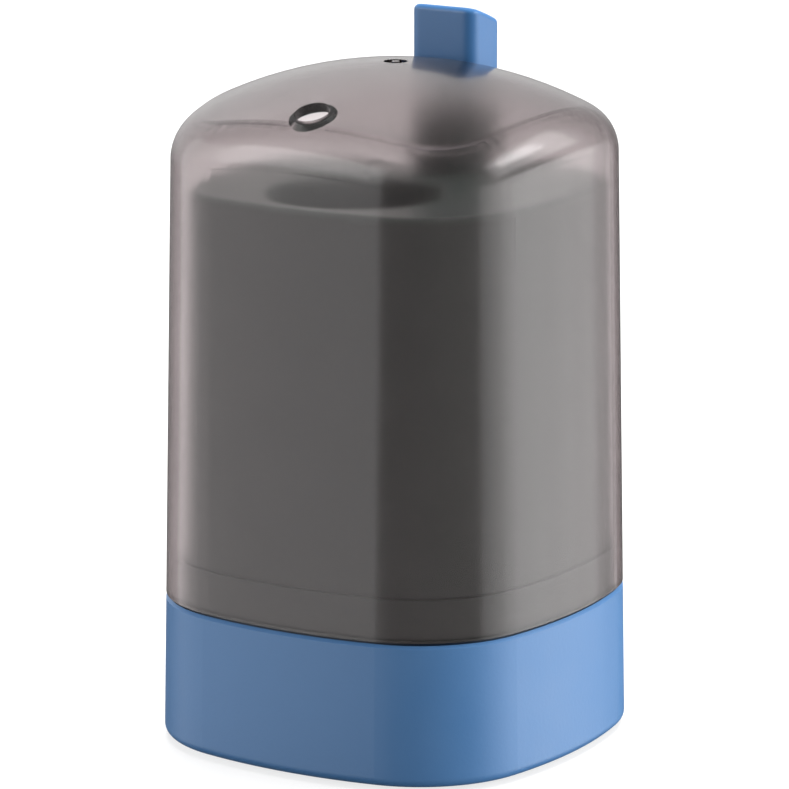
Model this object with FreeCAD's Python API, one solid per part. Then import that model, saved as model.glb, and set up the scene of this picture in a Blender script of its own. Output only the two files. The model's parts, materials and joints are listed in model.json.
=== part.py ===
"""Press-type toothpick dispenser: a smoked dome over a grey container, on a blue base.

Pressing the button at the rear drives a rod down on to a rocker lever in the base. The lever's
long front arm raises a thin lifter under the well's front wall, which pushes one pick out of the
hole in the dome. Millimetres, +Z up, front towards -Y, origin at the middle of the underside.
"""
import FreeCAD
import Part
import math
import os

Vector = FreeCAD.Vector
UP = Vector(0, 0, 1)
ACROSS = Vector(1, 0, 0)
ORIGIN = Vector(0, 0, 0)

# Outer form, shared by base, dome and container
BODY_WIDTH = 64.0        # across the flats at the foot of the base
SIDE_RADIUS = 74.6       # bulge of the four sides
CORNER_RADIUS = 19.8
DRAFT_ANGLE = 1.09       # degrees, every wall leans in by this

# Base
PAD_PROUD = 0.6          # the grip pads lift the base off the table by this
BASE_HEIGHT = 21.5
BASE_WALL = 2.0
BASE_FLOOR = 2.4
BASE_FOOT_ROUND = 1.4
BASE_RIM_BEVEL = 0.45
RIM_SETBACK = 0.7        # from the outer face in to the step that carries the dome
RIM_STEP = 0.4           # height of that step, seen as a dark line round the seam

# Dome
DOME_SEAT_GAP = 0.05
DOME_WALL = 2.0
CAP_RADIUS = 63.75
SHOULDER_ROUND = 7.6
EXIT_RADIUS = 2.7        # hole that a pick comes out of
EXIT_BEVEL = 0.5         # depth of the lead-in that guides a pick's tip into it
EXIT_MOUTH = 3.4         # radius of that lead-in on the inside
EXIT_LEAD = 0.7          # it lies this far in front of the lifter
GATE_RADIUS = 1.8        # moulding mark at the apex
GATE_DEPTH = 0.5
GATE_NUB_RADIUS = 0.6
PICK_LENGTH = 65.0       # toothpick that stands on the well's floor
TIP_ROOM = 7.9           # from its tip up to the level of the apex

# Container inside the dome
HEADROOM = 17.9          # from its top up to the level of the apex
HOUSING_WALL = 1.6
HOUSING_TOP = 2.0
HOUSING_TOP_ROUND = 1.2
COLLAR_CLEAR = 0.3       # between the collar and the dome or base round it
COLLAR_HEIGHT = 6.0      # above the dome's rim
COLLAR_STEP = 0.6
SKIRT_DEPTH = 6.0        # below the seam

# Well for the picks
WELL_LAND = 5.15         # from the foot of the container's front face to the well
WELL_RADIUS = 12.95
WELL_WALL = 1.6
WELL_RIM_ROUND = 0.8
RIB_THICKNESS = 1.4
RIB_DROP = 30.0
FRONT_WEB_WIDTH = 10.0   # joins the well to the front wall, where a gap would be too thin to mould
EAR_REACH = 2.6          # from the well's outside to the screws of its floor

# Sloped floor under the well
FLOOR_PLATE = 2.0
FLOOR_SLOPE = 11.0       # degrees, down towards the front
TROUGH_RADIUS = 24.0
TROUGH_FRONT_RISE = 0.5  # height of the trough's lowest point over the plate
PLUG_CLEAR = 0.15
PLUG_WALL = 1.6
TONGUE_WIDTH = 9.0
TONGUE_RIB_DROP = 2.5
FLOOR_SCREW_LENGTH = 9.0

# Button and push rod
BUTTON_SETBACK = 11.9    # from the foot of the container's rear face
BUTTON_WIDTH = 11.2
BUTTON_DEPTH = 8.6
BUTTON_CORNER = 2.0
BUTTON_STAND = 6.8       # its front edge above the apex
BUTTON_TOP_RADIUS = 60.0
BUTTON_TOP_LEAN = 15.5   # degrees, slope of the top at its front edge
BUTTON_EDGE_ROUND = 0.8
BUTTON_WALL = 1.5
BUTTON_CLEAR = 0.35      # in the dome's slot
BUTTON_SINK = 1.0        # its foot's rear corners lie this far below the dome's outside
BUTTON_TRAVEL = 4.0
SOCKET_WALL = 1.5
ROD_RADIUS = 2.5
ROD_ENGAGEMENT = 8.0     # length of rod held in the button

# Spring pocket, the tower round it, bush, clip and return spring
POCKET_RADIUS = 5.0
POCKET_DEPTH = 8.0       # below the container's top
POCKET_WALL = 1.5
TOWER_GAP = 0.5          # from the tower's top to the pressed button
BUSH_FLANGE_THICKNESS = 1.0
BUSH_FLANGE_GAP = 0.2    # between the bush's flange and the pocket's wall
BUSH_WALL = 1.0
BUSH_LENGTH = 9.0        # below its flange
BUSH_BOSS = 6.0          # boss under the pocket that grips the bush
CLIP_THICKNESS = 0.7
CLIP_WIDTH = 1.8
CLIP_MOUTH = 3.2
CLIP_GAP = 0.1
GROOVE_DEPTH = 0.5
SPRING_WIRE = 0.8
SPRING_CLEAR = 0.5       # between the rod and the inside of the coil
SPRING_TURNS = 6
SPRING_END_GAP = 0.1

# Rocker lever, its bracket and its axle
LIFTER_SETBACK = 1.65    # from the well's front wall to the lifter's axis
LIFTER_TRAVEL = 12.0
LEVER_HALF = 2.0         # half the arms' thickness
LEVER_WIDTH = 8.0
LEVER_CORNER = 3.2
LEVER_TIP = 3.5          # each arm runs on past its contact by this
LEVER_WEB = 2.0
LEVER_RIM = 1.1
LEVER_FLOOR_GAP = 0.6
HUB_RADIUS = 3.6
HUB_WIDTH = 10.0
PIN_RADIUS = 1.5
RUNNING_CLEAR = 0.05
PRESS_CLEAR = 0.02
CONTACT_GAP = 0.1        # between the lever and what it pushes
CHEEK_GAP = 0.3
CHEEK_THICKNESS = 2.2
CHEEK_ROUND = 3.6
BRACKET_WIDTH = 9.0
BRACKET_CORNER = 3.6
BRACKET_PLATE = 1.8
BRACKET_BOSS_HEIGHT = 2.0
BRACKET_SCREW_GAP = 1.4  # from a cheek to the head of the screw beside it
BRACKET_MARGIN = 0.9     # of plate outside that head
BRACKET_SCREW_LENGTH = 5.0
PIN_CLIP_RADIUS = 3.2
PIN_CLIP_THICKNESS = 0.6
PIN_END = 0.8

# Lifter
LIFTER_RADIUS = 1.2
LIFTER_CUP_DEPTH = 0.6
LIFTER_TOP_GAP = 0.3     # its top lies this far below the pocket's mouth at rest
SHOE_ROUND = 3.0         # radius of the shoe's round sole
SHOE_COLLAR = 1.2
SHOE_SOCKET = 2.4
GUIDE_WALL = 1.1
GUIDE_GAP = 0.5          # between the raised shoe and its guide
GUIDE_LENGTH = 4.55      # below the floor's seat
GUIDE_MOUTH = 0.9

# Screws and pads
POST_INSET = 7.74        # of posts, screws and pads from the corner's outer face
POST_RADIUS = 3.2
POST_HEIGHT = 40.0
BOSS_RADIUS = 3.9
BOSS_HEIGHT = 4.0        # above the base's floor
BOSS_WEB = 1.6
SCREW_RADIUS = 1.3
SCREW_HOLE_CLEAR = 0.25
SCREW_HEAD_RADIUS = 2.6
SCREW_HEAD_HEIGHT = 1.7
SCREW_HEAD_BEVEL = 0.7
SCREW_POINT = 1.2
SCREW_THREAD_CLEAR = 0.03
HOUSING_SCREW_LENGTH = 12.0
HEAD_CLEAR = 0.3
PAD_RADIUS = 4.5
PAD_RECESS = 1.0
PAD_CLEAR = 0.1
PAD_CHAMFER = 0.35
REACH = 200.0            # longer than any cut needs

# Plan: places that follow from the sizes above
DRAFT = math.tan(math.radians(DRAFT_ANGLE))
SIDE_OFFSET = SIDE_RADIUS - BODY_WIDTH / 2
CORNER_CENTRE = (math.sqrt(2 * (SIDE_RADIUS - CORNER_RADIUS) ** 2 - SIDE_OFFSET ** 2) - SIDE_OFFSET) / 2
CORNER_POST = CORNER_CENTRE + (CORNER_RADIUS - POST_INSET) / math.sqrt(2)
COLLAR_INSET = max(DOME_WALL, BASE_WALL) + COLLAR_CLEAR
HOUSING_INSET = COLLAR_INSET + COLLAR_STEP
HOUSING_FACE = BODY_WIDTH / 2 - HOUSING_INSET
WELL_Y = WELL_LAND + WELL_RADIUS - HOUSING_FACE
WELL_OUTER = WELL_RADIUS + WELL_WALL
EAR_X = WELL_OUTER + EAR_REACH
LIFTER_Y = WELL_Y - WELL_RADIUS + LIFTER_SETBACK
EXIT_Y = LIFTER_Y - EXIT_LEAD
BUTTON_Y = HOUSING_FACE - BUTTON_SETBACK

# Levels of the base and of the lever in it
BASE_Z = PAD_PROUD
FLOOR_TOP_Z = BASE_Z + BASE_FLOOR
SEAM_Z = BASE_Z + BASE_HEIGHT
RIM_Z = SEAM_Z + RIM_STEP
DOME_RIM_Z = RIM_Z + DOME_SEAT_GAP
SKIRT_Z = SEAM_Z - SKIRT_DEPTH
POST_Z = FLOOR_TOP_Z + BOSS_HEIGHT
HEAD_SEAT_Z = BASE_Z + PAD_RECESS + SCREW_HEAD_HEIGHT + HEAD_CLEAR

LEVER_RATIO = LIFTER_TRAVEL / BUTTON_TRAVEL
REAR_ARM = (BUTTON_Y - LIFTER_Y) / (1 + LEVER_RATIO)
FRONT_ARM = REAR_ARM * LEVER_RATIO
PIVOT_Y = BUTTON_Y - REAR_ARM
LEVER_TILT = math.atan(BUTTON_TRAVEL / 2 / REAR_ARM)
PIVOT_Z = (FLOOR_TOP_Z + LEVER_FLOOR_GAP + LEVER_HALF * math.cos(LEVER_TILT)
           + (FRONT_ARM + LEVER_TIP) * math.sin(LEVER_TILT))
CHEEK_X = HUB_WIDTH / 2 + CHEEK_GAP
CHEEK_OUTER_X = CHEEK_X + CHEEK_THICKNESS
BRACKET_Z = FLOOR_TOP_Z + BRACKET_BOSS_HEIGHT
BRACKET_SCREW_X = CHEEK_OUTER_X + BRACKET_SCREW_GAP + SCREW_HEAD_RADIUS
BRACKET_HALF = BRACKET_SCREW_X + SCREW_HEAD_RADIUS + BRACKET_MARGIN
PIN_HALF = CHEEK_OUTER_X + PIN_CLIP_THICKNESS + PIN_END

ROD_SOLE_Z = PIVOT_Z + BUTTON_TRAVEL / 2 + (LEVER_HALF + ROD_RADIUS + CONTACT_GAP) / math.cos(LEVER_TILT)
SHOE_SOLE_Z = PIVOT_Z - LIFTER_TRAVEL / 2 + (LEVER_HALF + SHOE_ROUND + CONTACT_GAP) / math.cos(LEVER_TILT)
SHOE_TOP_Z = SHOE_SOLE_Z + SHOE_COLLAR

# Levels above the lever: the lifter's guide, the well's floor, the dome and the container
GUIDE_Z = SHOE_TOP_Z + LIFTER_TRAVEL + GUIDE_GAP
FLOOR_SEAT_Z = GUIDE_Z + GUIDE_LENGTH
LIFTER_TOP_Z = FLOOR_SEAT_Z - LIFTER_TOP_GAP
APEX_Z = FLOOR_SEAT_Z + PICK_LENGTH + TIP_ROOM
CAP_CENTRE = Vector(0, 0, APEX_Z - CAP_RADIUS)
HOUSING_TOP_Z = APEX_Z - HEADROOM

POCKET_Z = HOUSING_TOP_Z - POCKET_DEPTH
BUSH_BORE = ROD_RADIUS + RUNNING_CLEAR
BUSH_SLEEVE = BUSH_BORE + BUSH_WALL
BUSH_BOTTOM_Z = POCKET_Z - BUSH_LENGTH
CLIP_Z = BUSH_BOTTOM_Z - CLIP_GAP - CLIP_THICKNESS
GROOVE_RADIUS = ROD_RADIUS - GROOVE_DEPTH


def cap_height(radius, x, y):
    """Height of a sphere about the cap's centre, above the point x, y."""
    return CAP_CENTRE.z + math.sqrt(radius ** 2 - x ** 2 - y ** 2)


BUTTON_FOOT_Z = cap_height(CAP_RADIUS, BUTTON_WIDTH / 2, BUTTON_Y + BUTTON_DEPTH / 2) - BUTTON_SINK
BUTTON_FRONT_Z = APEX_Z + BUTTON_STAND
TOWER_TOP_Z = BUTTON_FOOT_Z - BUTTON_TRAVEL - TOWER_GAP
ROD_TOP_Z = BUTTON_FOOT_Z + ROD_ENGAGEMENT


# Small building blocks
def cylinder(radius, low, high, x=0.0, y=0.0):
    """Upright cylinder between two heights."""
    return Part.makeCylinder(radius, high - low, Vector(x, y, low))


def bar(radius, x_low, x_high, y, z):
    """Round bar along X."""
    return Part.makeCylinder(radius, x_high - x_low, Vector(x_low, y, z), ACROSS)


def block(x_low, x_high, y_low, y_high, z_low, z_high):
    """Box between two corners."""
    return Part.makeBox(x_high - x_low, y_high - y_low, z_high - z_low, Vector(x_low, y_low, z_low))


def tube(outer, inner, low, high, x=0.0, y=0.0):
    """Upright tube between two heights."""
    return cylinder(outer, low, high, x, y).cut(cylinder(inner, low - 1, high + 1, x, y))


def rounded_block(width, depth, corner, low, high, y):
    """Upright block centred on x = 0 with rounded corners in plan."""
    solid = block(-width / 2, width / 2, y - depth / 2, y + depth / 2, low, high)
    upright = [e for e in solid.Edges if abs(e.tangentAt(e.FirstParameter).z) > 0.9]
    return solid.makeFillet(corner, upright)


def joined(first, *others):
    """One clean solid from several that overlap."""
    return first.multiFuse(list(others)).removeSplitter()


def mirrored_pair(shape):
    """The shape and its mirror image across the symmetry plane."""
    return [shape, shape.mirror(ORIGIN, ACROSS)]


def four_corners(shape):
    """Copies of a shape made at the +X +Y corner, one for each corner."""
    right = [shape, shape.mirror(ORIGIN, Vector(0, 1, 0))]
    return [copy for side in right for copy in mirrored_pair(side)]


def edges_at(shape, z):
    """Edges that lie flat at one height."""
    return [e for e in shape.Edges
            if abs(e.BoundBox.ZMin - z) < 1e-4 and abs(e.BoundBox.ZMax - z) < 1e-4]


def pan_screw(length, x, y, seat_z, turned_up):
    """Pan-head screw whose head seats at seat_z, with its shank up or down from there."""
    head = cylinder(SCREW_HEAD_RADIUS, -SCREW_HEAD_HEIGHT, 0)
    head = head.makeChamfer(SCREW_HEAD_BEVEL, edges_at(head, -SCREW_HEAD_HEIGHT))
    shank = cylinder(SCREW_RADIUS, -SCREW_HEAD_HEIGHT / 2, length - SCREW_POINT)
    point = Part.makeCone(SCREW_RADIUS, SCREW_RADIUS / 3, SCREW_POINT, Vector(0, 0, length - SCREW_POINT))
    screw = joined(head, shank, point)
    if not turned_up:
        screw.rotate(ORIGIN, ACROSS, 180)
    screw.translate(Vector(x, y, seat_z))
    return screw


# The shared outer form
def body_section(inset, z):
    """Rounded square with bulged sides, drawn in all round by inset, at height z."""
    swing = math.atan2(CORNER_CENTRE, CORNER_CENTRE + SIDE_OFFSET)
    edges = []
    for quarter in range(4):
        turn = FreeCAD.Rotation(UP, 90 * quarter)
        start = math.pi / 2 * quarter
        side = Part.Circle(turn.multVec(Vector(-SIDE_OFFSET, 0, z)), UP, SIDE_RADIUS - inset)
        bend = Part.Circle(turn.multVec(Vector(CORNER_CENTRE, CORNER_CENTRE, z)), UP, CORNER_RADIUS - inset)
        edges.append(Part.Arc(side, start - swing, start + swing).toShape())
        edges.append(Part.Arc(bend, start + swing, start + math.pi / 2 - swing).toShape())
    return Part.Wire(edges)


def drafted(inset, low, high):
    """Solid of the outer form between two heights, drawn in by inset and leaning in with height."""
    sections = [body_section(inset + DRAFT * (z - BASE_Z), z) for z in (low, high)]
    return Part.makeLoft(sections, True, True)


def dome_form(inset, low):
    """Domed solid: drafted walls under a spherical cap, with a round shoulder."""
    radius = CAP_RADIUS - inset
    sphere = Part.makeSphere(radius)
    sphere.rotate(ORIGIN, Vector(0, 1, 0), 90)
    sphere.translate(CAP_CENTRE)
    cap = sphere.fuse(cylinder(radius, low - 1, CAP_CENTRE.z))
    solid = drafted(inset, low, APEX_Z + 1).common(cap)
    crown = []
    for edge in solid.Edges:
        middle = edge.valueAt((edge.FirstParameter + edge.LastParameter) / 2)
        on_cap = abs((middle - CAP_CENTRE).Length - radius) < 1e-3
        if on_cap and middle.z > HOUSING_TOP_Z:
            crown.append(edge)
    return solid.makeFillet(SHOULDER_ROUND - inset, crown)


# Pieces
def dome_cover():
    """Smoked dome with the pick's exit, the button's slot and the gate mark."""
    shell = dome_form(0, DOME_RIM_Z).cut(dome_form(DOME_WALL, DOME_RIM_Z - 1))
    exit_point = Vector(0, EXIT_Y, cap_height(CAP_RADIUS, 0, EXIT_Y))
    outward = (exit_point - CAP_CENTRE).normalize()
    exit_hole = Part.makeCylinder(EXIT_RADIUS, 4 * DOME_WALL, exit_point - outward * 2 * DOME_WALL, outward)
    flare = (EXIT_MOUTH - EXIT_RADIUS) / EXIT_BEVEL
    lead_in = Part.makeCone(EXIT_RADIUS, EXIT_RADIUS + flare * DOME_WALL, DOME_WALL,
                            exit_point - outward * (DOME_WALL - EXIT_BEVEL), -outward)
    slot = rounded_block(BUTTON_WIDTH + 2 * BUTTON_CLEAR, BUTTON_DEPTH + 2 * BUTTON_CLEAR,
                         BUTTON_CORNER + BUTTON_CLEAR, TOWER_TOP_Z, APEX_Z + 1, BUTTON_Y)
    mark = tube(GATE_RADIUS, GATE_NUB_RADIUS, APEX_Z - GATE_DEPTH, APEX_Z + 1)
    return shell.cut(exit_hole).cut(lead_in).cut(slot).cut(mark)


def base_shell():
    """Blue tub with a stepped rim, corner bosses for the screws and bosses for the bracket."""
    outer = drafted(0, BASE_Z, SEAM_Z)
    outer = outer.makeFillet(BASE_FOOT_ROUND, edges_at(outer, BASE_Z))
    outer = outer.makeChamfer(BASE_RIM_BEVEL, edges_at(outer, SEAM_Z))
    step = drafted(RIM_SETBACK, SEAM_Z - BASE_RIM_BEVEL, RIM_Z)
    shell = outer.fuse(step).cut(drafted(BASE_WALL, FLOOR_TOP_Z, RIM_Z + 1))

    boss = cylinder(BOSS_RADIUS, FLOOR_TOP_Z - 1, POST_Z, CORNER_POST, CORNER_POST)
    web = block(0, BOSS_RADIUS + BASE_WALL, -BOSS_WEB / 2, BOSS_WEB / 2, FLOOR_TOP_Z - 1, POST_Z)
    web.rotate(ORIGIN, UP, 45)
    web.translate(Vector(CORNER_POST, CORNER_POST, 0))
    bracket_boss = cylinder(POST_RADIUS, FLOOR_TOP_Z - 1, BRACKET_Z, BRACKET_SCREW_X, PIVOT_Y)
    shell = joined(shell, *four_corners(boss.fuse(web)), *mirrored_pair(bracket_boss))

    recess = cylinder(PAD_RADIUS + PAD_CLEAR, BASE_Z - 1, BASE_Z + PAD_RECESS, CORNER_POST, CORNER_POST)
    seat = cylinder(SCREW_HEAD_RADIUS + HEAD_CLEAR, BASE_Z, HEAD_SEAT_Z, CORNER_POST, CORNER_POST)
    hole = cylinder(SCREW_RADIUS + SCREW_HOLE_CLEAR, BASE_Z, POST_Z + 1, CORNER_POST, CORNER_POST)
    pilot = cylinder(SCREW_RADIUS + SCREW_THREAD_CLEAR, BRACKET_Z + BRACKET_PLATE - BRACKET_SCREW_LENGTH,
                     BRACKET_Z + 1, BRACKET_SCREW_X, PIVOT_Y)
    cuts = four_corners(recess.multiFuse([seat, hole])) + mirrored_pair(pilot)
    for cut in cuts:
        shell = shell.cut(cut)
    return shell


def inner_housing():
    """Grey container: outer shell, pick well, spring pocket, screw posts and ribs."""
    upper = drafted(HOUSING_INSET, SKIRT_Z, HOUSING_TOP_Z)
    upper = upper.makeFillet(HOUSING_TOP_ROUND, edges_at(upper, HOUSING_TOP_Z))
    collar = drafted(COLLAR_INSET, SKIRT_Z, DOME_RIM_Z + COLLAR_HEIGHT)
    ceiling_z = HOUSING_TOP_Z - HOUSING_TOP
    inside = drafted(HOUSING_INSET + HOUSING_WALL, SKIRT_Z - 1, ceiling_z)
    shell = upper.fuse(collar).cut(inside)

    well = cylinder(WELL_OUTER, FLOOR_SEAT_Z, ceiling_z + 1, 0, WELL_Y)
    tower = cylinder(POCKET_RADIUS + POCKET_WALL, POCKET_Z - POCKET_WALL, TOWER_TOP_Z, 0, BUTTON_Y)
    grip = cylinder(BUSH_SLEEVE + POCKET_WALL, POCKET_Z - BUSH_BOSS, POCKET_Z, 0, BUTTON_Y)
    post = cylinder(POST_RADIUS, POST_Z, POST_Z + POST_HEIGHT, CORNER_POST, CORNER_POST)
    ear = cylinder(POST_RADIUS, FLOOR_SEAT_Z, FLOOR_SEAT_Z + FLOOR_SCREW_LENGTH, EAR_X, WELL_Y)
    wall = HOUSING_FACE - HOUSING_WALL / 2 - DRAFT * (HOUSING_TOP_Z - BASE_Z)
    rib = block(WELL_RADIUS + WELL_WALL / 2, wall, WELL_Y - RIB_THICKNESS / 2, WELL_Y + RIB_THICKNESS / 2,
                ceiling_z - RIB_DROP, ceiling_z + 1)
    web = block(-FRONT_WEB_WIDTH / 2, FRONT_WEB_WIDTH / 2, -wall, WELL_Y - WELL_RADIUS + WELL_WALL,
                ceiling_z - RIB_DROP, ceiling_z + 1)
    shell = joined(shell, well, tower, grip, web, *four_corners(post), *mirrored_pair(ear), *mirrored_pair(rib))

    bore = cylinder(WELL_RADIUS, FLOOR_SEAT_Z - 1, HOUSING_TOP_Z + 1, 0, WELL_Y)
    spring_room = cylinder(POCKET_RADIUS, POCKET_Z, TOWER_TOP_Z + 1, 0, BUTTON_Y)
    sleeve_hole = cylinder(BUSH_SLEEVE + PRESS_CLEAR, BUSH_BOTTOM_Z - 1, HOUSING_TOP_Z, 0, BUTTON_Y)
    screw_top = HEAD_SEAT_Z + HOUSING_SCREW_LENGTH + HEAD_CLEAR
    screw_hole = cylinder(SCREW_RADIUS + SCREW_THREAD_CLEAR, POST_Z - 1, screw_top, CORNER_POST, CORNER_POST)
    ear_hole = cylinder(SCREW_RADIUS + SCREW_THREAD_CLEAR, FLOOR_SEAT_Z - 1,
                        FLOOR_SEAT_Z + FLOOR_SCREW_LENGTH - FLOOR_PLATE, EAR_X, WELL_Y)
    for cut in [bore, spring_room, sleeve_hole, *four_corners(screw_hole), *mirrored_pair(ear_hole)]:
        shell = shell.cut(cut)
    rim = [e for e in edges_at(shell, HOUSING_TOP_Z)
           if hasattr(e.Curve, "Radius") and abs(e.Curve.Radius - WELL_RADIUS) < 1e-6]
    return shell.makeFillet(WELL_RIM_ROUND, rim)


def trough(drop):
    """Tilted round bar whose underside is the floor's sloped trough, lowered by drop."""
    lowest = FLOOR_SEAT_Z + TROUGH_FRONT_RISE - drop
    slope = Vector(0, math.cos(math.radians(FLOOR_SLOPE)), math.sin(math.radians(FLOOR_SLOPE)))
    lift = Vector(0, -slope.z, slope.y) * TROUGH_RADIUS
    start = Vector(0, WELL_Y - WELL_RADIUS, lowest) + lift - slope * REACH / 2
    return Part.makeCylinder(TROUGH_RADIUS, REACH, start, slope)


def magazine_floor():
    """Sloped floor that closes the well, with guides for the lifter and the push rod."""
    plate_z = FLOOR_SEAT_Z - FLOOR_PLATE
    plate = cylinder(WELL_OUTER, plate_z, FLOOR_SEAT_Z, 0, WELL_Y)
    ear = cylinder(POST_RADIUS, plate_z, FLOOR_SEAT_Z, EAR_X, WELL_Y)
    ring = cylinder(TONGUE_WIDTH / 2 + BUTTON_CLEAR, GUIDE_Z, FLOOR_SEAT_Z, 0, BUTTON_Y)
    tongue = block(-TONGUE_WIDTH / 2, TONGUE_WIDTH / 2, WELL_Y, BUTTON_Y, plate_z, FLOOR_SEAT_Z)
    rib = block(-RIB_THICKNESS / 2, RIB_THICKNESS / 2, WELL_Y + WELL_RADIUS, BUTTON_Y,
                plate_z - TONGUE_RIB_DROP, plate_z + 1)
    guide = cylinder(LIFTER_RADIUS + RUNNING_CLEAR + GUIDE_WALL, GUIDE_Z, plate_z + 1, 0, LIFTER_Y)
    solid = joined(plate, *mirrored_pair(ear), tongue, rib, ring, guide)

    plug_radius = WELL_RADIUS - PLUG_CLEAR
    rise = 2 * WELL_RADIUS * math.tan(math.radians(FLOOR_SLOPE)) + TROUGH_FRONT_RISE
    side_rise = TROUGH_RADIUS - math.sqrt(TROUGH_RADIUS ** 2 - WELL_RADIUS ** 2)
    plug = cylinder(plug_radius, FLOOR_SEAT_Z - 1, FLOOR_SEAT_Z + rise + side_rise, 0, WELL_Y).cut(trough(0))
    core = cylinder(plug_radius - PLUG_WALL, plate_z - 1, FLOOR_SEAT_Z + rise, 0, WELL_Y).cut(trough(FLOOR_PLATE))
    keep = block(-WELL_OUTER, WELL_OUTER, WELL_Y - WELL_OUTER, LIFTER_Y + LIFTER_RADIUS + 2 * GUIDE_WALL,
                 plate_z - 2, FLOOR_SEAT_Z + rise)
    solid = solid.fuse(plug).cut(core.cut(keep))

    lifter_hole = cylinder(LIFTER_RADIUS + RUNNING_CLEAR, GUIDE_Z - 1, FLOOR_SEAT_Z + rise, 0, LIFTER_Y)
    mouth_z = FLOOR_SEAT_Z + TROUGH_FRONT_RISE
    mouth = Part.makeCone(LIFTER_RADIUS + RUNNING_CLEAR, LIFTER_RADIUS + RUNNING_CLEAR + GUIDE_MOUTH,
                          2 * GUIDE_MOUTH, Vector(0, LIFTER_Y, mouth_z - GUIDE_MOUTH))
    rod_hole = cylinder(BUSH_BORE, GUIDE_Z - 1, FLOOR_SEAT_Z + 1, 0, BUTTON_Y)
    ear_hole = cylinder(SCREW_RADIUS + SCREW_HOLE_CLEAR, plate_z - 1, FLOOR_SEAT_Z + 1, EAR_X, WELL_Y)
    for cut in [lifter_hole, mouth, rod_hole, *mirrored_pair(ear_hole)]:
        solid = solid.cut(cut)
    return solid.removeSplitter()


def button_cap():
    """Wedge-topped button, hollow below, with a socket for the rod and a seat for the spring."""
    def form(inset, low):
        front_y = BUTTON_Y - BUTTON_DEPTH / 2
        plan = rounded_block(BUTTON_WIDTH - 2 * inset, BUTTON_DEPTH - 2 * inset, BUTTON_CORNER - inset,
                             low, BUTTON_FRONT_Z + 1, BUTTON_Y)
        lean = math.radians(BUTTON_TOP_LEAN)
        centre = Vector(-BUTTON_WIDTH, front_y - BUTTON_TOP_RADIUS * math.sin(lean),
                        BUTTON_FRONT_Z - BUTTON_TOP_RADIUS * math.cos(lean))
        crown = Part.makeCylinder(BUTTON_TOP_RADIUS - inset, 2 * BUTTON_WIDTH, centre, ACROSS)
        return plan.common(crown)

    solid = form(0, BUTTON_FOOT_Z)
    top_edges = [e for e in solid.Edges if e.BoundBox.ZMin > BUTTON_FOOT_Z + 1]
    top_edges = [e for e in top_edges if abs(e.tangentAt(e.FirstParameter).z) < 0.9]
    solid = solid.makeFillet(BUTTON_EDGE_ROUND, top_edges)
    inside = form(BUTTON_WALL, BUTTON_FOOT_Z)
    socket = cylinder(ROD_RADIUS + SOCKET_WALL, BUTTON_FOOT_Z, BUTTON_FRONT_Z, 0, BUTTON_Y).common(inside)
    solid = solid.cut(inside.cut(socket))
    return solid.cut(cylinder(ROD_RADIUS + PRESS_CLEAR, BUTTON_FOOT_Z - 1, ROD_TOP_Z + CONTACT_GAP, 0, BUTTON_Y))


def push_rod():
    """Straight rod with a round lower end and a groove for its clip."""
    shaft = cylinder(ROD_RADIUS, ROD_SOLE_Z, ROD_TOP_Z, 0, BUTTON_Y)
    end = Part.makeSphere(ROD_RADIUS, Vector(0, BUTTON_Y, ROD_SOLE_Z))
    groove = tube(ROD_RADIUS + 1, GROOVE_RADIUS, CLIP_Z - RUNNING_CLEAR,
                  CLIP_Z + CLIP_THICKNESS + RUNNING_CLEAR, 0, BUTTON_Y)
    return joined(shaft, end).cut(groove)


def guide_bush():
    """Flanged bush in the floor of the spring pocket."""
    flange = cylinder(POCKET_RADIUS - BUSH_FLANGE_GAP, POCKET_Z, POCKET_Z + BUSH_FLANGE_THICKNESS, 0, BUTTON_Y)
    sleeve = cylinder(BUSH_SLEEVE, BUSH_BOTTOM_Z, POCKET_Z + BUSH_FLANGE_THICKNESS, 0, BUTTON_Y)
    bore = cylinder(BUSH_BORE, BUSH_BOTTOM_Z - 1, POCKET_Z + BUSH_FLANGE_THICKNESS + 1, 0, BUTTON_Y)
    return joined(flange, sleeve).cut(bore)


def rod_clip():
    """Open spring clip in the rod's groove, under the bush."""
    inner = GROOVE_RADIUS + PRESS_CLEAR
    ring = tube(inner + CLIP_WIDTH, inner, CLIP_Z, CLIP_Z + CLIP_THICKNESS, 0, BUTTON_Y)
    mouth = block(-CLIP_MOUTH / 2, CLIP_MOUTH / 2, BUTTON_Y, BUTTON_Y + inner + 2 * CLIP_WIDTH,
                  CLIP_Z - 1, CLIP_Z + CLIP_THICKNESS + 1)
    return ring.cut(mouth)


def spring_arcs(start, start_way, end, end_way):
    """Two arcs that join two points of a helix and share its direction at both."""
    span = end - start
    spread = 2 * (1 - start_way.dot(end_way))
    along = span.dot(start_way + end_way)
    reach = (math.sqrt(along ** 2 + spread * span.dot(span)) - along) / spread
    meet = (start + end + (start_way - end_way) * reach) / 2
    arcs = []
    for near, far, way in ((start, meet, start_way), (meet, end, (end - end_way * reach - meet).normalize())):
        chord = far - near
        direction = Vector(chord).normalize()
        bow = (way - direction * way.dot(direction)).normalize()
        rise = chord.Length / 2 * math.tan(math.acos(min(1.0, way.dot(direction))) / 2)
        arcs.append(Part.Arc(near, near + chord / 2 + bow * rise, far).toShape())
    return arcs


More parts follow.
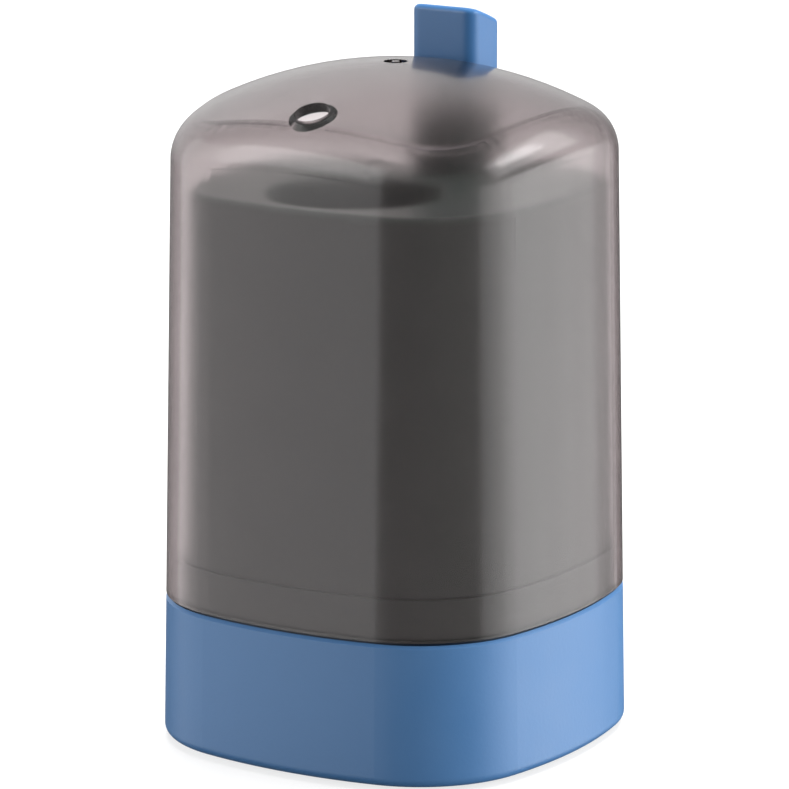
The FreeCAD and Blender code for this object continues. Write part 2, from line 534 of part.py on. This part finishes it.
def return_spring():
    """Compression spring round the rod, from the bush's flange up to the button."""
    radius = ROD_RADIUS + SPRING_CLEAR + SPRING_WIRE / 2
    low = POCKET_Z + BUSH_FLANGE_THICKNESS + SPRING_END_GAP + SPRING_WIRE / 2
    high = BUTTON_FOOT_Z - SPRING_END_GAP - SPRING_WIRE / 2
    rise_per_turn = (high - low) / SPRING_TURNS

    def point(turns):
        angle = 2 * math.pi * turns
        return Vector(radius * math.cos(angle), BUTTON_Y + radius * math.sin(angle), low + rise_per_turn * turns)

    def way(turns):
        angle = 2 * math.pi * turns
        run = 2 * math.pi * radius
        return Vector(-run * math.sin(angle), run * math.cos(angle), rise_per_turn).normalize()

    edges = []
    for half in range(2 * SPRING_TURNS):
        here, there = half / 2, (half + 1) / 2
        edges += spring_arcs(point(here), way(here), point(there), way(there))
    coil = Part.BRepOffsetAPI.MakePipeShell(Part.Wire(edges))
    coil.add(Part.Wire(Part.Circle(point(0), way(0), SPRING_WIRE / 2).toShape()))
    coil.build()
    coil.makeSolid()

    steps = 48
    first_turn = [point(step / steps) for step in range(steps)]
    next_turns = [point(0.5 + step / steps) for step in range(2 * steps)]
    gap = min((a - b).Length for a in first_turn[:steps // 4] for b in next_turns) - SPRING_WIRE
    print("return_spring least gap to itself %.2f mm" % gap)
    return coil.shape()


def rocker_lever():
    """Lever with a long front arm, an I-shaped section and a hub, tilted to its rest position."""
    front_y = PIVOT_Y - FRONT_ARM - LEVER_TIP
    rear_y = PIVOT_Y + REAR_ARM + LEVER_TIP
    beam = rounded_block(LEVER_WIDTH, rear_y - front_y, LEVER_CORNER, PIVOT_Z - LEVER_HALF, PIVOT_Z + LEVER_HALF,
                         (front_y + rear_y) / 2)
    hub = bar(HUB_RADIUS, -HUB_WIDTH / 2, HUB_WIDTH / 2, PIVOT_Y, PIVOT_Z)
    lever = joined(beam, hub)
    pocket_front = front_y + 2 * LEVER_TIP
    pocket_rear = PIVOT_Y - HUB_RADIUS - LEVER_RIM
    pocket = block(LEVER_WEB / 2, LEVER_WIDTH, pocket_front, pocket_rear,
                   PIVOT_Z - LEVER_HALF + LEVER_RIM, PIVOT_Z + LEVER_HALF - LEVER_RIM)
    for cut in mirrored_pair(pocket):
        lever = lever.cut(cut)
    lever = lever.cut(bar(PIN_RADIUS + RUNNING_CLEAR, -HUB_WIDTH, HUB_WIDTH, PIVOT_Y, PIVOT_Z))
    lever.rotate(Vector(0, PIVOT_Y, PIVOT_Z), ACROSS, math.degrees(LEVER_TILT))
    return lever


def pivot_bracket():
    """Bracket with two cheeks for the axle, on a plate that is screwed to the base."""
    plate = rounded_block(2 * BRACKET_HALF, BRACKET_WIDTH, BRACKET_CORNER, BRACKET_Z, BRACKET_Z + BRACKET_PLATE,
                          PIVOT_Y)
    cheek = block(CHEEK_X, CHEEK_OUTER_X, PIVOT_Y - CHEEK_ROUND, PIVOT_Y + CHEEK_ROUND, BRACKET_Z, PIVOT_Z)
    cheek = cheek.fuse(bar(CHEEK_ROUND, CHEEK_X, CHEEK_OUTER_X, PIVOT_Y, PIVOT_Z))
    bracket = joined(plate, *mirrored_pair(cheek))
    hole = cylinder(SCREW_RADIUS + SCREW_HOLE_CLEAR, BRACKET_Z - 1, BRACKET_Z + BRACKET_PLATE + 1,
                    BRACKET_SCREW_X, PIVOT_Y)
    for cut in mirrored_pair(hole):
        bracket = bracket.cut(cut)
    return bracket.cut(bar(PIN_RADIUS + PRESS_CLEAR, -BRACKET_HALF, BRACKET_HALF, PIVOT_Y, PIVOT_Z))


def pivot_pin():
    """Steel axle of the lever."""
    return bar(PIN_RADIUS, -PIN_HALF, PIN_HALF, PIVOT_Y, PIVOT_Z)


def pin_clips():
    """Two push-on clips outside the bracket's cheeks."""
    low, high = CHEEK_OUTER_X + PRESS_CLEAR, CHEEK_OUTER_X + PRESS_CLEAR + PIN_CLIP_THICKNESS
    clip = bar(PIN_CLIP_RADIUS, low, high, PIVOT_Y, PIVOT_Z)
    clip = clip.cut(bar(PIN_RADIUS + PRESS_CLEAR, low - 1, high + 1, PIVOT_Y, PIVOT_Z))
    return Part.makeCompound(mirrored_pair(clip))


def lifter_rod():
    """Thin steel rod with a cupped top that a pick stands in."""
    low = SHOE_TOP_Z - SHOE_SOCKET + CONTACT_GAP
    rod = cylinder(LIFTER_RADIUS, low, LIFTER_TOP_Z, 0, LIFTER_Y)
    cup = Part.makeCone(LIFTER_RADIUS / 4, 0.8 * LIFTER_RADIUS, LIFTER_CUP_DEPTH,
                        Vector(0, LIFTER_Y, LIFTER_TOP_Z - LIFTER_CUP_DEPTH))
    return rod.cut(cup)


def lifter_shoe():
    """Shoe with a round sole that rides on the lever's front arm."""
    sole = Part.makeSphere(SHOE_ROUND, Vector(0, LIFTER_Y, SHOE_SOLE_Z))
    sole = sole.common(cylinder(SHOE_ROUND + 1, SHOE_SOLE_Z - SHOE_ROUND, SHOE_SOLE_Z, 0, LIFTER_Y))
    collar = cylinder(SHOE_ROUND, SHOE_SOLE_Z, SHOE_TOP_Z, 0, LIFTER_Y)
    socket = cylinder(LIFTER_RADIUS + PRESS_CLEAR, SHOE_TOP_Z - SHOE_SOCKET, SHOE_TOP_Z + 1, 0, LIFTER_Y)
    return joined(sole, collar).cut(socket)


def floor_screws():
    """Two screws up through the floor's ears."""
    screw = pan_screw(FLOOR_SCREW_LENGTH - HEAD_CLEAR, EAR_X, WELL_Y, FLOOR_SEAT_Z - FLOOR_PLATE, True)
    return Part.makeCompound(mirrored_pair(screw))


def bracket_screws():
    """Two screws down through the bracket's plate."""
    screw = pan_screw(BRACKET_SCREW_LENGTH - HEAD_CLEAR, BRACKET_SCREW_X, PIVOT_Y,
                      BRACKET_Z + BRACKET_PLATE, False)
    return Part.makeCompound(mirrored_pair(screw))


def housing_screws():
    """Four screws from below that hold the container on the base."""
    screw = pan_screw(HOUSING_SCREW_LENGTH, CORNER_POST, CORNER_POST, HEAD_SEAT_Z, True)
    return Part.makeCompound(four_corners(screw))


def grip_pads():
    """Four rubber pads in recesses under the base, over the screws."""
    pad = cylinder(PAD_RADIUS, 0, BASE_Z + PAD_RECESS, CORNER_POST, CORNER_POST)
    pad = pad.makeChamfer(PAD_CHAMFER, edges_at(pad, 0))
    return Part.makeCompound(four_corners(pad))


PIECES = [dome_cover, base_shell, inner_housing, magazine_floor, floor_screws, button_cap, push_rod,
          guide_bush, return_spring, rod_clip, rocker_lever, pivot_pin, pin_clips, pivot_bracket,
          bracket_screws, lifter_rod, lifter_shoe, housing_screws, grip_pads]

os.makedirs("parts", exist_ok=True)
for piece in PIECES:
    piece().exportStep("parts/%s.step" % piece.__name__)
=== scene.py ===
"""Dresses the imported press-button pick dispenser: smoked dome, grey container, blue base. Metres."""
import json
import math

import bpy
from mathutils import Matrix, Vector


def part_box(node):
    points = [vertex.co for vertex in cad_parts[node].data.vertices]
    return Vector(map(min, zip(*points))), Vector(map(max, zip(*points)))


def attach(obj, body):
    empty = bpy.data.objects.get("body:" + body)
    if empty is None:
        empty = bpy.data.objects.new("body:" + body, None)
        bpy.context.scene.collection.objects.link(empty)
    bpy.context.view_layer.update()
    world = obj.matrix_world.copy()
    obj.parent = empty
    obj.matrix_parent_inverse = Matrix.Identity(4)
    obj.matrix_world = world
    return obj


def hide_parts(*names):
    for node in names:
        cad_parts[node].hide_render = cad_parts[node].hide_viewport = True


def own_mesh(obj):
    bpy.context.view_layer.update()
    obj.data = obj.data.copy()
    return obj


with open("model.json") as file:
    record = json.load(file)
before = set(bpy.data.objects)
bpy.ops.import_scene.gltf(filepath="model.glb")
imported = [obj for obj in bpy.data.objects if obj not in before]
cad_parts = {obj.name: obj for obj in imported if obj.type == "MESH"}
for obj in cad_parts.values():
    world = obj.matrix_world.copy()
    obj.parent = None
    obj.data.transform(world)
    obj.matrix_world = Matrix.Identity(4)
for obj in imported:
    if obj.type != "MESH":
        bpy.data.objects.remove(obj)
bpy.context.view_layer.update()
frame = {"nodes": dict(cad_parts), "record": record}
nodes = frame["nodes"]

MM = 0.001

# Camera: the photograph's viewing angle, with its long lens and square frame
CAMERA_AZIMUTH = 31.76   # degrees from the front, towards the right
CAMERA_ELEVATION = 12.78
CAMERA_DISTANCE = 767.9 * MM
CAMERA_HEIGHT_AIM = 51.8 * MM
CAMERA_SIDE_AIM = -0.17 * MM
CAMERA_LENS = 232.95
CAMERA_SENSOR = 36.0

# Return spring: wire coil on the push rod, between the bush and the button's foot
SPRING_WIRE_RADIUS = 0.4 * MM
SPRING_COIL_RADIUS = 3.4 * MM
SPRING_TURNS = 6
SPRING_STEPS_PER_TURN = 32
SPRING_WIRE_SIDES = 14

# Step under the dome's rim, which lies in shade all round: that shade is painted on the base as a dark
# navy colour, which shows as a dark line
SEAM_STEP = 0.4 * MM
SEAM_BLEND = 0.03 * MM
PAINTED_SEAM_SHADE = "0C1B2C"

# Smoke dye: a 2 mm wall lets through about two thirds of the light, a little more of the red
SMOKE_DENSITY = 410.0
SMOKE_COLOUR = (0.613, 0.549, 0.555, 1.0)

# Studio: softboxes by azimuth, measured from the front towards the right, and by elevation
AIM = Vector((0.0, 0.0, 0.05))
LOW_ELEVATION = -14.0    # where upright walls mirror, seen from the camera's height
FLOOR_SIZE = 5.0
FLOOR_GLOW = 0.75        # share of the sheet that shines by itself
ROOM_FILL = 0.25         # light from all round on matt surfaces

# Low strip lights on the right, side by side: azimuth and brightness, fading towards both ends
RIGHT_LOW_STRIPS = ((93.0, 0.9), (105.0, 1.3), (117.0, 1.9), (129.0, 2.2), (141.0, 1.75), (153.0, 1.3),
                    (165.0, 0.45))
STRIP_WIDTH = 0.21
STRIP_HEIGHT = 0.6


def linear(hex_colour):
    """The linear colour of an sRGB hex value such as 4F729A."""
    shares = [int(hex_colour[start:start + 2], 16) / 255 for start in (0, 2, 4)]
    lit = [s / 12.92 if s <= 0.04045 else ((s + 0.055) / 1.055) ** 2.4 for s in shares]
    return (*lit, 1.0)


def add(tree, kind, inputs=None, **settings):
    """Adds a shader node: settings are its properties, inputs are values or sockets to link."""
    made = tree.nodes.new(kind)
    for name, value in settings.items():
        setattr(made, name, value)
    for name, value in (inputs or {}).items():
        if isinstance(value, bpy.types.NodeSocket):
            tree.links.new(value, made.inputs[name])
        else:
            made.inputs[name].default_value = value
    return made


def per_metre(size_mm):
    """The texture scale at which one cell of a pattern measures size_mm."""
    return 1.0 / (size_mm * MM)


def start_material(name):
    """An empty node material, with its tree, its output and the piece's own coordinates."""
    material = bpy.data.materials.new(name)
    material.use_nodes = True
    tree = material.node_tree
    tree.nodes.clear()
    output = add(tree, "ShaderNodeOutputMaterial")
    place = add(tree, "ShaderNodeTexCoord").outputs["Object"]
    return material, tree, output, place


def moulded_finish(name, dark, light, mottle_mm, grain_mm, grain_depth_mm, roughness, principled=None,
                   painted_shade_from=None):
    """A moulded or drawn finish: soft mottling of the colour, uneven gloss and a fine raised grain.

    From the given seam height upwards, in metres, the surface is painted dark: painted shade for the
    shadowed step under the dome's rim."""
    material, tree, output, place = start_material(name)
    mottle = add(tree, "ShaderNodeTexNoise",
                 {"Vector": place, "Scale": per_metre(mottle_mm), "Detail": 4.0, "Roughness": 0.6})
    colour = add(tree, "ShaderNodeMix", {"Factor": mottle.outputs["Fac"]}, data_type="RGBA")
    colour.inputs[6].default_value = linear(dark)
    colour.inputs[7].default_value = linear(light)
    skin = colour.outputs[2]
    # Painted shade: above the seam height the colour turns dark navy, standing in for the shadow in the
    # step under the dome's rim
    if painted_shade_from is not None:
        height = add(tree, "ShaderNodeSeparateXYZ", {"Vector": place}).outputs["Z"]
        in_painted_seam_shade = add(tree, "ShaderNodeMapRange",
                      {"Value": height, "From Min": painted_shade_from - SEAM_BLEND, "From Max": painted_shade_from})
        seam = add(tree, "ShaderNodeMix", {"Factor": in_painted_seam_shade.outputs["Result"]}, data_type="RGBA")
        tree.links.new(skin, seam.inputs[6])
        seam.inputs[7].default_value = linear(PAINTED_SEAM_SHADE)
        skin = seam.outputs[2]
    gloss = add(tree, "ShaderNodeMapRange",
                {"Value": mottle.outputs["Fac"], "From Min": 0.3, "From Max": 0.7,
                 "To Min": roughness[0], "To Max": roughness[1]})
    grain = add(tree, "ShaderNodeTexNoise",
                {"Vector": place, "Scale": per_metre(grain_mm), "Detail": 2.0, "Roughness": 0.5})
    relief = add(tree, "ShaderNodeBump",
                 {"Height": grain.outputs["Fac"], "Strength": 0.5, "Distance": grain_depth_mm * MM})
    shader = add(tree, "ShaderNodeBsdfPrincipled",
                 {"Base Color": skin, "Roughness": gloss.outputs["Result"],
                  "Normal": relief.outputs["Normal"], **(principled or {})})
    tree.links.new(shader.outputs["BSDF"], output.inputs["Surface"])
    return material


def smoked_styrene():
    """Smoked polystyrene, injection moulded: grey-brown in depth, glossy, with a trace of haze."""
    material, tree, output, place = start_material("smoked_styrene")
    flow = add(tree, "ShaderNodeTexNoise",
               {"Vector": place, "Scale": per_metre(14.0), "Detail": 2.0, "Roughness": 0.5})
    tint = add(tree, "ShaderNodeMix", {"Factor": flow.outputs["Fac"]}, data_type="RGBA")
    tint.inputs[6].default_value = linear("F6F4F4")
    tint.inputs[7].default_value = linear("FCFAFA")
    haze = add(tree, "ShaderNodeMapRange",
               {"Value": flow.outputs["Fac"], "From Min": 0.3, "From Max": 0.7,
                "To Min": 0.16, "To Max": 0.19})
    skin = add(tree, "ShaderNodeTexNoise",
               {"Vector": place, "Scale": per_metre(5.0), "Detail": 1.0, "Roughness": 0.4})
    relief = add(tree, "ShaderNodeBump",
                 {"Height": skin.outputs["Fac"], "Strength": 0.3, "Distance": 0.02 * MM})
    glass = add(tree, "ShaderNodeBsdfPrincipled",
                {"Base Color": tint.outputs[2], "Roughness": haze.outputs["Result"],
                 "Normal": relief.outputs["Normal"], "IOR": 1.55, "Transmission Weight": 1.0})
    # Lamps reach the container through the wall instead of being blocked by it
    passing = add(tree, "ShaderNodeBsdfTransparent", {"Color": linear("F2F2F2")})
    shadow_ray = add(tree, "ShaderNodeLightPath").outputs["Is Shadow Ray"]
    wall = add(tree, "ShaderNodeMixShader", {"Fac": shadow_ray})
    tree.links.new(glass.outputs["BSDF"], wall.inputs[1])
    tree.links.new(passing.outputs["BSDF"], wall.inputs[2])
    tree.links.new(wall.outputs["Shader"], output.inputs["Surface"])
    # The smoke is dye all through the plastic, so long slanting paths look darker
    dye = add(tree, "ShaderNodeVolumeAbsorption", {"Color": SMOKE_COLOUR, "Density": SMOKE_DENSITY})
    tree.links.new(dye.outputs["Volume"], output.inputs["Volume"])
    return material


def matt_blue_abs():
    """Blue ABS from a lightly spark-eroded mould: even colour, broad soft sheen, fine grain, with
    painted shade as a dark line along the step under the dome's rim.
    """
    return moulded_finish("matt_blue_abs", "3B6490", "416A96", 9.0, 0.6, 0.03, (0.36, 0.44),
                          {"Specular IOR Level": 0.65},
                          painted_shade_from=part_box("base_shell")[1][2] - SEAM_STEP)


def button_abs_painted_shade():
    """The same blue ABS, a little darker all over: painted shade, for the raised button that catches
    less of the lamps' light.
    """
    return moulded_finish("button_blue_abs_painted_shade", "305C8A", "366291", 5.0, 0.6, 0.03, (0.38, 0.46),
                          {"Specular IOR Level": 0.6})


def satin_grey_abs():
    """Dark grey ABS with a trace of green, satin moulded: dull sheen and faint flow marks."""
    return moulded_finish("satin_grey_abs", "333D3A", "394340", 11.0, 6.0, 0.002, (0.31, 0.34))


def dark_grey_abs():
    """Dark grey ABS of the hidden mouldings: dull, with slight flow marks."""
    return moulded_finish("dark_grey_abs", "3A3B3D", "434446", 7.0, 0.6, 0.03, (0.45, 0.55))


def natural_acetal():
    """Natural acetal: creamy white, waxy and low in gloss."""
    return moulded_finish("natural_acetal", "DEDACF", "E8E5DC", 6.0, 0.5, 0.02, (0.35, 0.45),
                          {"Specular IOR Level": 0.45, "IOR": 1.48})


def spring_steel():
    """Oiled spring wire: grey, slightly brown sheen, smooth."""
    return moulded_finish("spring_steel", "6E6D6C", "868685", 2.0, 0.3, 0.004, (0.28, 0.4),
                          {"Metallic": 1.0})


def zinc_plated_steel():
    """Bright zinc on small screws: pale blue-grey, cloudy crystals about a millimetre across."""
    return moulded_finish("zinc_plated_steel", "AEB4BA", "CDD1D5", 1.0, 0.3, 0.006, (0.22, 0.38),
                          {"Metallic": 1.0})


def black_rubber():
    """Black rubber of the feet: nearly no gloss, chalky grain."""
    return moulded_finish("black_rubber", "1B1B1C", "262626", 3.0, 0.4, 0.05, (0.75, 0.88))


def drawn_steel():
    """Bright drawn rod: clean grey metal with fine scratches along its length."""
    material, tree, output, place = start_material("drawn_steel")
    stretched = add(tree, "ShaderNodeMapping", {"Vector": place, "Scale": (1.0, 1.0, 0.02)})
    scratches = add(tree, "ShaderNodeTexNoise",
                    {"Vector": stretched.outputs["Vector"], "Scale": per_metre(0.25), "Detail": 3.0})
    colour = add(tree, "ShaderNodeMix", {"Factor": scratches.outputs["Fac"]}, data_type="RGBA")
    colour.inputs[6].default_value = linear("B2B3B4")
    colour.inputs[7].default_value = linear("D2D2D2")
    gloss = add(tree, "ShaderNodeMapRange",
                {"Value": scratches.outputs["Fac"], "To Min": 0.16, "To Max": 0.34})
    relief = add(tree, "ShaderNodeBump",
                 {"Height": scratches.outputs["Fac"], "Strength": 0.3, "Distance": 0.004 * MM})
    metal = add(tree, "ShaderNodeBsdfPrincipled",
                {"Base Color": colour.outputs[2], "Roughness": gloss.outputs["Result"],
                 "Normal": relief.outputs["Normal"], "Metallic": 1.0})
    tree.links.new(metal.outputs["BSDF"], output.inputs["Surface"])
    return material


def dress_nodes():
    """Gives every CAD node the material of its slot in the record, and returns those materials."""
    finishes = {
        "smoked_plastic": smoked_styrene(),
        "blue_plastic": matt_blue_abs(),
        "button_plastic": button_abs_painted_shade(),
        "grey_plastic": satin_grey_abs(),
        "dark_grey_plastic": dark_grey_abs(),
        "acetal": natural_acetal(),
        "bright_steel": drawn_steel(),
        "spring_steel": spring_steel(),
        "zinc_steel": zinc_plated_steel(),
        "rubber": black_rubber(),
    }
    for part in frame["record"]["subparts"]:
        mesh = nodes[part["node"]].data
        mesh.materials.clear()
        mesh.materials.append(finishes[part["material_slot"]])
    return finishes


def wind_return_spring(material):
    """One wire circle screwed up round the push rod's line, capped at both cut ends."""
    low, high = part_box("return_spring")
    rod_low, rod_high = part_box("push_rod")
    rod_y = (rod_low[1] + rod_high[1]) / 2
    first_wire_z = low[2] + SPRING_WIRE_RADIUS
    rise = high[2] - low[2] - 2 * SPRING_WIRE_RADIUS
    bpy.ops.object.select_all(action="DESELECT")
    bpy.ops.mesh.primitive_circle_add(
        vertices=SPRING_WIRE_SIDES, radius=SPRING_WIRE_RADIUS,
        location=(SPRING_COIL_RADIUS, 0.0, 0.0), rotation=(math.pi / 2, 0.0, 0.0))
    coil = bpy.context.object
    coil.name = "wound_return_spring"
    bpy.ops.object.transform_apply(location=True, rotation=True, scale=True)
    winding = coil.modifiers.new("winding", "SCREW")
    winding.angle = 2 * math.pi * SPRING_TURNS
    winding.screw_offset = rise
    winding.steps = SPRING_STEPS_PER_TURN * SPRING_TURNS
    winding.render_steps = winding.steps
    winding.use_merge_vertices = False
    bpy.ops.object.modifier_apply(modifier=winding.name)
    bpy.ops.object.mode_set(mode="EDIT")
    bpy.ops.mesh.select_mode(type="EDGE")
    bpy.ops.mesh.select_all(action="DESELECT")
    bpy.ops.mesh.select_non_manifold()
    bpy.ops.mesh.edge_face_add()
    bpy.ops.mesh.select_all(action="SELECT")
    bpy.ops.mesh.normals_make_consistent(inside=False)
    bpy.ops.object.mode_set(mode="OBJECT")
    coil.location = (0.0, rod_y, first_wire_z)
    bpy.ops.object.transform_apply(location=True, rotation=True, scale=True)
    bpy.ops.object.shade_smooth_by_angle(angle=math.radians(40))
    coil.data.materials.append(material)
    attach(coil, "frame")
    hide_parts("return_spring")
    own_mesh(coil)


def direction(azimuth_deg, elevation_deg):
    """The unit vector towards an azimuth from the front, positive to the right, and an elevation."""
    azimuth = math.radians(azimuth_deg)
    elevation = math.radians(elevation_deg)
    level = math.cos(elevation)
    return Vector((math.sin(azimuth) * level, -math.cos(azimuth) * level, math.sin(elevation)))


def softbox(name, azimuth, elevation, distance, width, height, radiance, in_gloss=True):
    """An area lamp of a given brightness, aimed at the object; in_gloss says if gloss mirrors it."""
    lamp = bpy.data.lights.new(name, "AREA")
    lamp.shape = "RECTANGLE"
    lamp.size = width
    lamp.size_y = height
    # A flat lamp's brightness is its power over four times its area
    lamp.energy = 4 * width * height * radiance
    box = bpy.data.objects.new(name, lamp)
    bpy.context.scene.collection.objects.link(box)
    towards = direction(azimuth, elevation)
    box.location = AIM + towards * distance
    box.rotation_euler = towards.to_track_quat("Z", "Y").to_euler()
    box.visible_camera = False
    box.visible_glossy = in_gloss
    box.visible_transmission = False


def light_studio():
    """Softboxes on the left, strips and a high softbox on the right, and fills that gloss leaves out."""
    softbox("left_low_softbox", -29.0, LOW_ELEVATION, 1.0, 0.98, 0.6, 0.9)
    softbox("left_softbox", -29.0, 21.0, 1.0, 0.98, 0.6, 2.0)
    softbox("far_left_softbox", -75.0, 0.0, 1.0, 0.7, 1.1, 0.9)
    for strip, (azimuth, radiance) in enumerate(RIGHT_LOW_STRIPS, 1):
        softbox(f"right_low_strip_{strip}", azimuth, LOW_ELEVATION, 1.0, STRIP_WIDTH, STRIP_HEIGHT,
                radiance)
    softbox("right_softbox", 110.0, 21.0, 1.0, 1.0, 0.6, 1.6, in_gloss=False)
    softbox("right_high_softbox", 125.0, 30.0, 1.0, 0.42, 0.22, 3.6)
    softbox("right_high_scrim", 128.0, 26.0, 1.0, 0.9, 0.5, 1.4)
    softbox("left_fill", -50.0, 20.0, 1.2, 0.9, 0.9, 1.2, in_gloss=False)
    softbox("right_fill", 108.0, 4.0, 1.2, 0.9, 0.9, 4.8, in_gloss=False)
    softbox("top_fill", 190.0, 75.0, 1.2, 0.9, 0.9, 12.5, in_gloss=False)


def seen_plainly(tree, path):
    """One for rays from the camera, also through glass, and nought once a matt surface spread them."""
    in_view = add(tree, "ShaderNodeMath",
                  {0: path.outputs["Is Camera Ray"], 1: path.outputs["Is Transmission Ray"]},
                  operation="MAXIMUM")
    unscattered = add(tree, "ShaderNodeMath", {0: path.outputs["Diffuse Depth"], 1: 0.5},
                      operation="LESS_THAN")
    plain = add(tree, "ShaderNodeMath", {0: in_view.outputs[0], 1: unscattered.outputs[0]},
                operation="MULTIPLY")
    return plain.outputs[0]


def room_light():
    """The world: white to the camera and through glass; in gloss a bright wall behind on the left."""
    world = bpy.data.worlds.new("studio_room")
    bpy.context.scene.world = world
    world.use_nodes = True
    tree = world.node_tree
    tree.nodes.clear()
    path = add(tree, "ShaderNodeLightPath")
    seen = seen_plainly(tree, path)
    # What gloss mirrors: bright behind, dimmer to the right, fading to the floor and overhead
    way = add(tree, "ShaderNodeSeparateXYZ",
              {"Vector": add(tree, "ShaderNodeTexCoord").outputs["Generated"]})
    depth = add(tree, "ShaderNodeMapRange",
                {"Value": way.outputs["Y"], "From Min": -0.3, "From Max": 0.4,
                 "To Min": 0.04, "To Max": 0.95}, interpolation_type="SMOOTHSTEP")
    ceiling = add(tree, "ShaderNodeMapRange",
                  {"Value": way.outputs["Z"], "From Min": 0.5, "From Max": 0.9,
                   "To Min": 1.0, "To Max": 0.1}, interpolation_type="SMOOTHSTEP")
    side = add(tree, "ShaderNodeMapRange",
               {"Value": way.outputs["X"], "From Min": -0.55, "From Max": 0.0,
                "To Min": 1.0, "To Max": 0.25}, interpolation_type="SMOOTHSTEP")
    foot = add(tree, "ShaderNodeMapRange",
               {"Value": way.outputs["Z"], "From Min": -0.25, "From Max": 0.15,
                "To Min": 0.15, "To Max": 1.0}, interpolation_type="SMOOTHSTEP")
    back_wall = add(tree, "ShaderNodeMath", {0: depth.outputs["Result"], 1: side.outputs["Result"]},
                    operation="MULTIPLY")
    upright = add(tree, "ShaderNodeMath", {0: foot.outputs["Result"], 1: ceiling.outputs["Result"]},
                  operation="MULTIPLY")
    room = add(tree, "ShaderNodeMath", {0: back_wall.outputs[0], 1: upright.outputs[0]},
               operation="MULTIPLY")
    mirrored = add(tree, "ShaderNodeMath", {0: path.outputs["Is Glossy Ray"], 1: room.outputs[0]},
                   operation="MULTIPLY")
    scattered = add(tree, "ShaderNodeMath", {0: path.outputs["Diffuse Depth"], 1: 0.5},
                    operation="GREATER_THAN")
    spread = add(tree, "ShaderNodeMath", {0: scattered.outputs[0], 1: ROOM_FILL},
                 operation="MULTIPLY")
    bounced = add(tree, "ShaderNodeMath", {0: mirrored.outputs[0], 1: spread.outputs[0]},
                  operation="ADD")
    strength = add(tree, "ShaderNodeMath", {0: seen, 1: bounced.outputs[0]},
                   operation="MAXIMUM")
    air = add(tree, "ShaderNodeBackground",
              {"Color": (1.0, 1.0, 1.0, 1.0), "Strength": strength.outputs[0]})
    output = add(tree, "ShaderNodeOutputWorld")
    tree.links.new(air.outputs["Background"], output.inputs["Surface"])


def lay_floor():
    """A pale sheet that glows a little, so that it stays white round the object's soft shadow."""
    bpy.ops.object.select_all(action="DESELECT")
    bpy.ops.mesh.primitive_plane_add(size=FLOOR_SIZE)
    floor = bpy.context.object
    floor.name = "floor"
    material, tree, output, place = start_material("white_paper")
    fibre = add(tree, "ShaderNodeTexNoise", {"Vector": place, "Scale": per_metre(8.0), "Detail": 3.0})
    shade = add(tree, "ShaderNodeMix", {"Factor": fibre.outputs["Fac"]}, data_type="RGBA")
    shade.inputs[6].default_value = linear("EEEEEE")
    shade.inputs[7].default_value = linear("F4F4F4")
    paper = add(tree, "ShaderNodeBsdfDiffuse", {"Color": shade.outputs[2]})
    path = add(tree, "ShaderNodeLightPath")
    seen = seen_plainly(tree, path)
    glow = add(tree, "ShaderNodeEmission", {"Strength": seen})
    sheet = add(tree, "ShaderNodeMixShader", {"Fac": FLOOR_GLOW})
    tree.links.new(paper.outputs["BSDF"], sheet.inputs[1])
    tree.links.new(glow.outputs["Emission"], sheet.inputs[2])
    tree.links.new(sheet.outputs["Shader"], output.inputs["Surface"])
    floor.data.materials.append(material)
    # The lamps stand partly below the floor's level, and the walls' gloss has to reach them
    floor.visible_glossy = False
    floor.visible_shadow = False


def place_camera():
    """The camera at the photograph's angle, aimed a little beside the object's middle."""
    lens = bpy.data.cameras.new("camera")
    lens.lens = CAMERA_LENS
    lens.sensor_width = CAMERA_SENSOR
    camera = bpy.data.objects.new("camera", lens)
    bpy.context.scene.collection.objects.link(camera)
    back = direction(CAMERA_AZIMUTH, CAMERA_ELEVATION)
    right = direction(CAMERA_AZIMUTH + 90.0, 0.0)
    target = Vector((0.0, 0.0, CAMERA_HEIGHT_AIM)) + right * CAMERA_SIDE_AIM
    camera.location = target + back * CAMERA_DISTANCE
    camera.rotation_euler = back.to_track_quat("Z", "Y").to_euler()
    bpy.context.scene.camera = camera


finishes = dress_nodes()
wind_return_spring(finishes["spring_steel"])
lay_floor()
light_studio()
room_light()
place_camera()
bpy.context.scene.view_settings.view_transform = "Standard"
